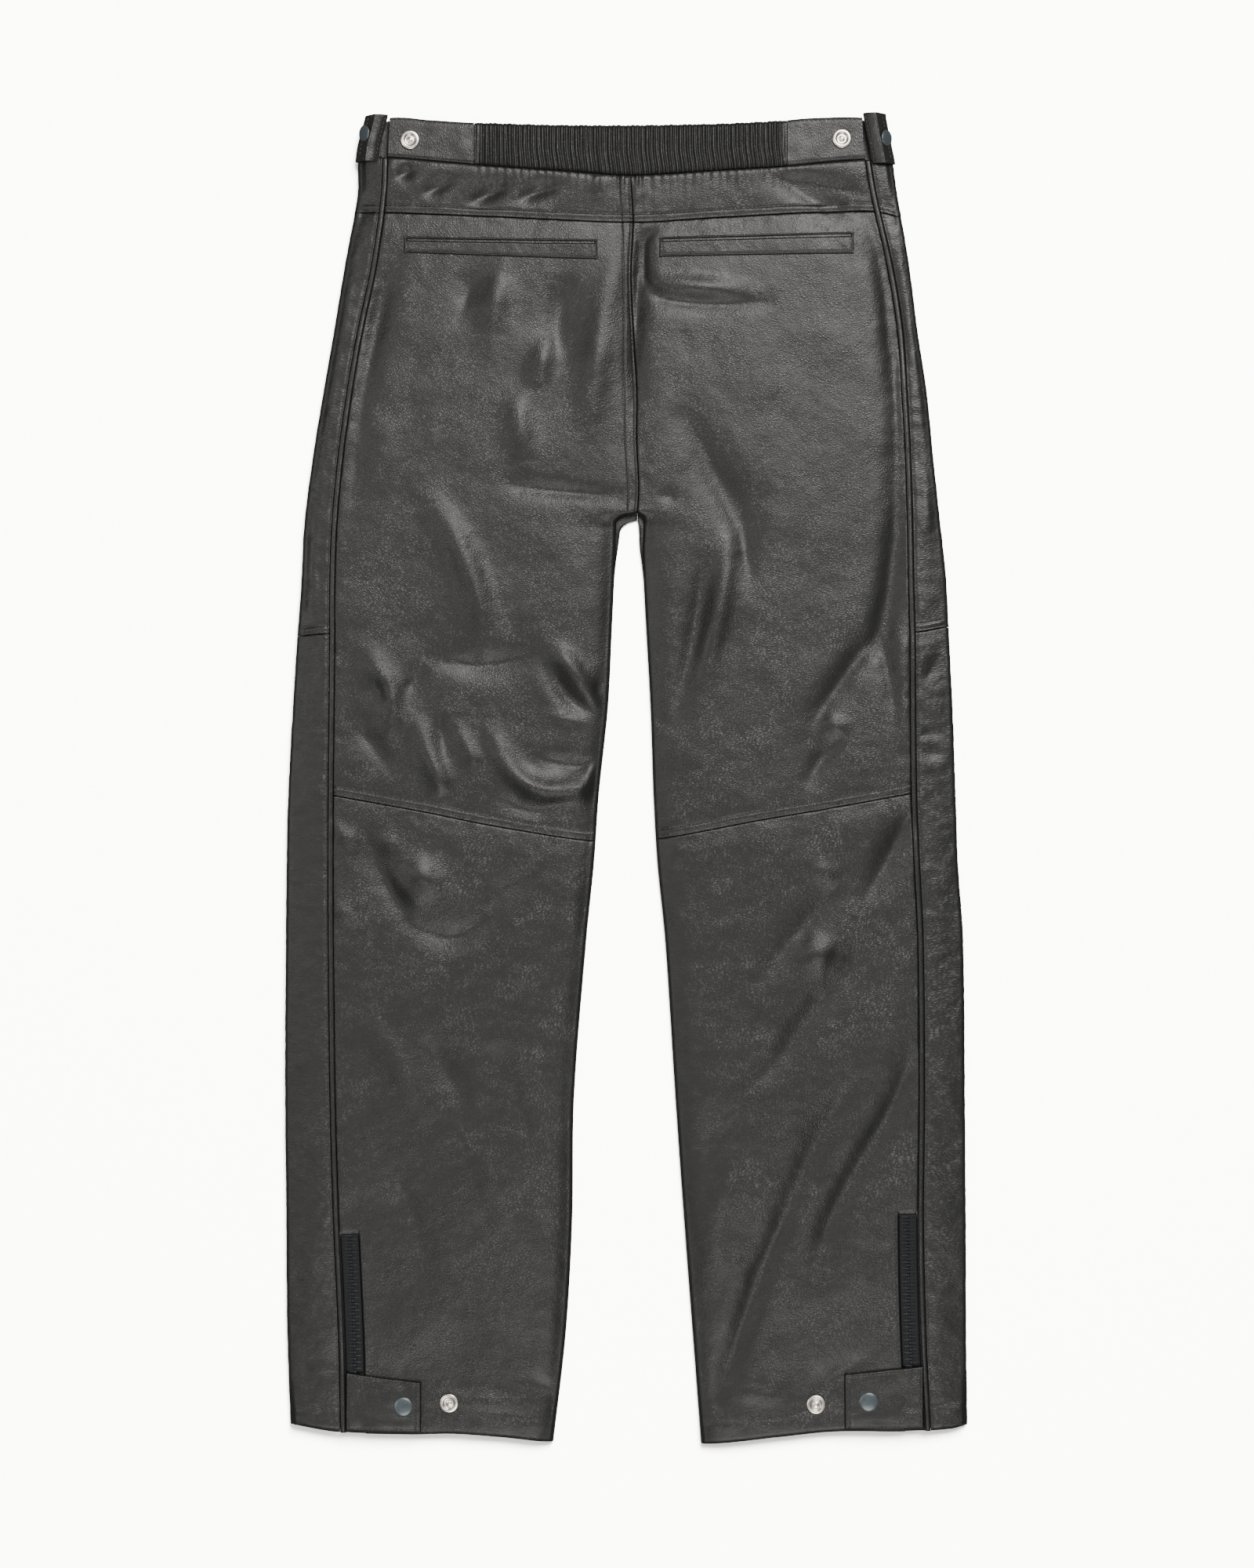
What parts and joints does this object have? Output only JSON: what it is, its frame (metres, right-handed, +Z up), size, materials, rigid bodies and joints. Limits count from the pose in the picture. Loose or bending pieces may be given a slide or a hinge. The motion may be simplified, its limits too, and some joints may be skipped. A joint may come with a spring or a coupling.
{
  "type": "leather trousers",
  "caption": "Straight-legged black leather trousers laid flat, back side up, with ruched elastic waistband, piped side seams, welt pockets and zipped ankles with snap tabs.",
  "frame": {"origin": "on the surface that the trousers lie on, below the middle of their bounding box", "axes": "+Y towards the waist, +X to the wearer's right, +Z up, out of the back of the trousers"},
  "size_m": [0.5492, 1.0692, 0.0171],
  "materials": {
    "leather": "black pebble grain, satin",
    "band_leather": "black grain, ruched over elastic at the back",
    "piping_leather": "black, smooth over a cord",
    "zip_fabric": "black woven tape",
    "zip_teeth": "navy-black moulded teeth",
    "enamel": "dark blue-grey, satin",
    "nickel": "warm nickel plating"
  },
  "bodies": {
    "root": {"ankle_tab_left": "leather", "ankle_tab_right": "leather", "back_lower_left": "leather", "back_lower_right": "leather", "back_upper_left": "leather", "back_upper_right": "leather", "front_left": "leather", "front_right": "leather", "piping_left": "piping_leather", "piping_right": "piping_leather", "pocket_lip_left": "band_leather", "pocket_lip_right": "band_leather", "pocket_welt_left": "band_leather", "pocket_welt_right": "band_leather", "side_lower_left": "leather", "side_lower_right": "leather", "side_upper_left": "leather", "side_upper_right": "leather", "side_yoke_left": "leather", "side_yoke_right": "leather", "snap_cap_ankle_left": "enamel", "snap_cap_ankle_right": "enamel", "snap_cap_waist_left": "enamel", "snap_cap_waist_right": "enamel", "snap_stud_ankle_left": "nickel", "snap_stud_ankle_right": "nickel", "snap_stud_waist_left": "nickel", "snap_stud_waist_right": "nickel", "waist_tab_left": "band_leather", "waist_tab_right": "band_leather", "waistband_back_left": "band_leather", "waistband_back_right": "band_leather", "waistband_elastic": "band_leather", "waistband_front_left": "band_leather", "waistband_front_right": "band_leather", "yoke_left": "leather", "yoke_right": "leather", "zip_chain_left": "zip_teeth", "zip_chain_right": "zip_teeth", "zip_tape_left": "zip_fabric", "zip_tape_right": "zip_fabric"}
  },
  "joints": []
}
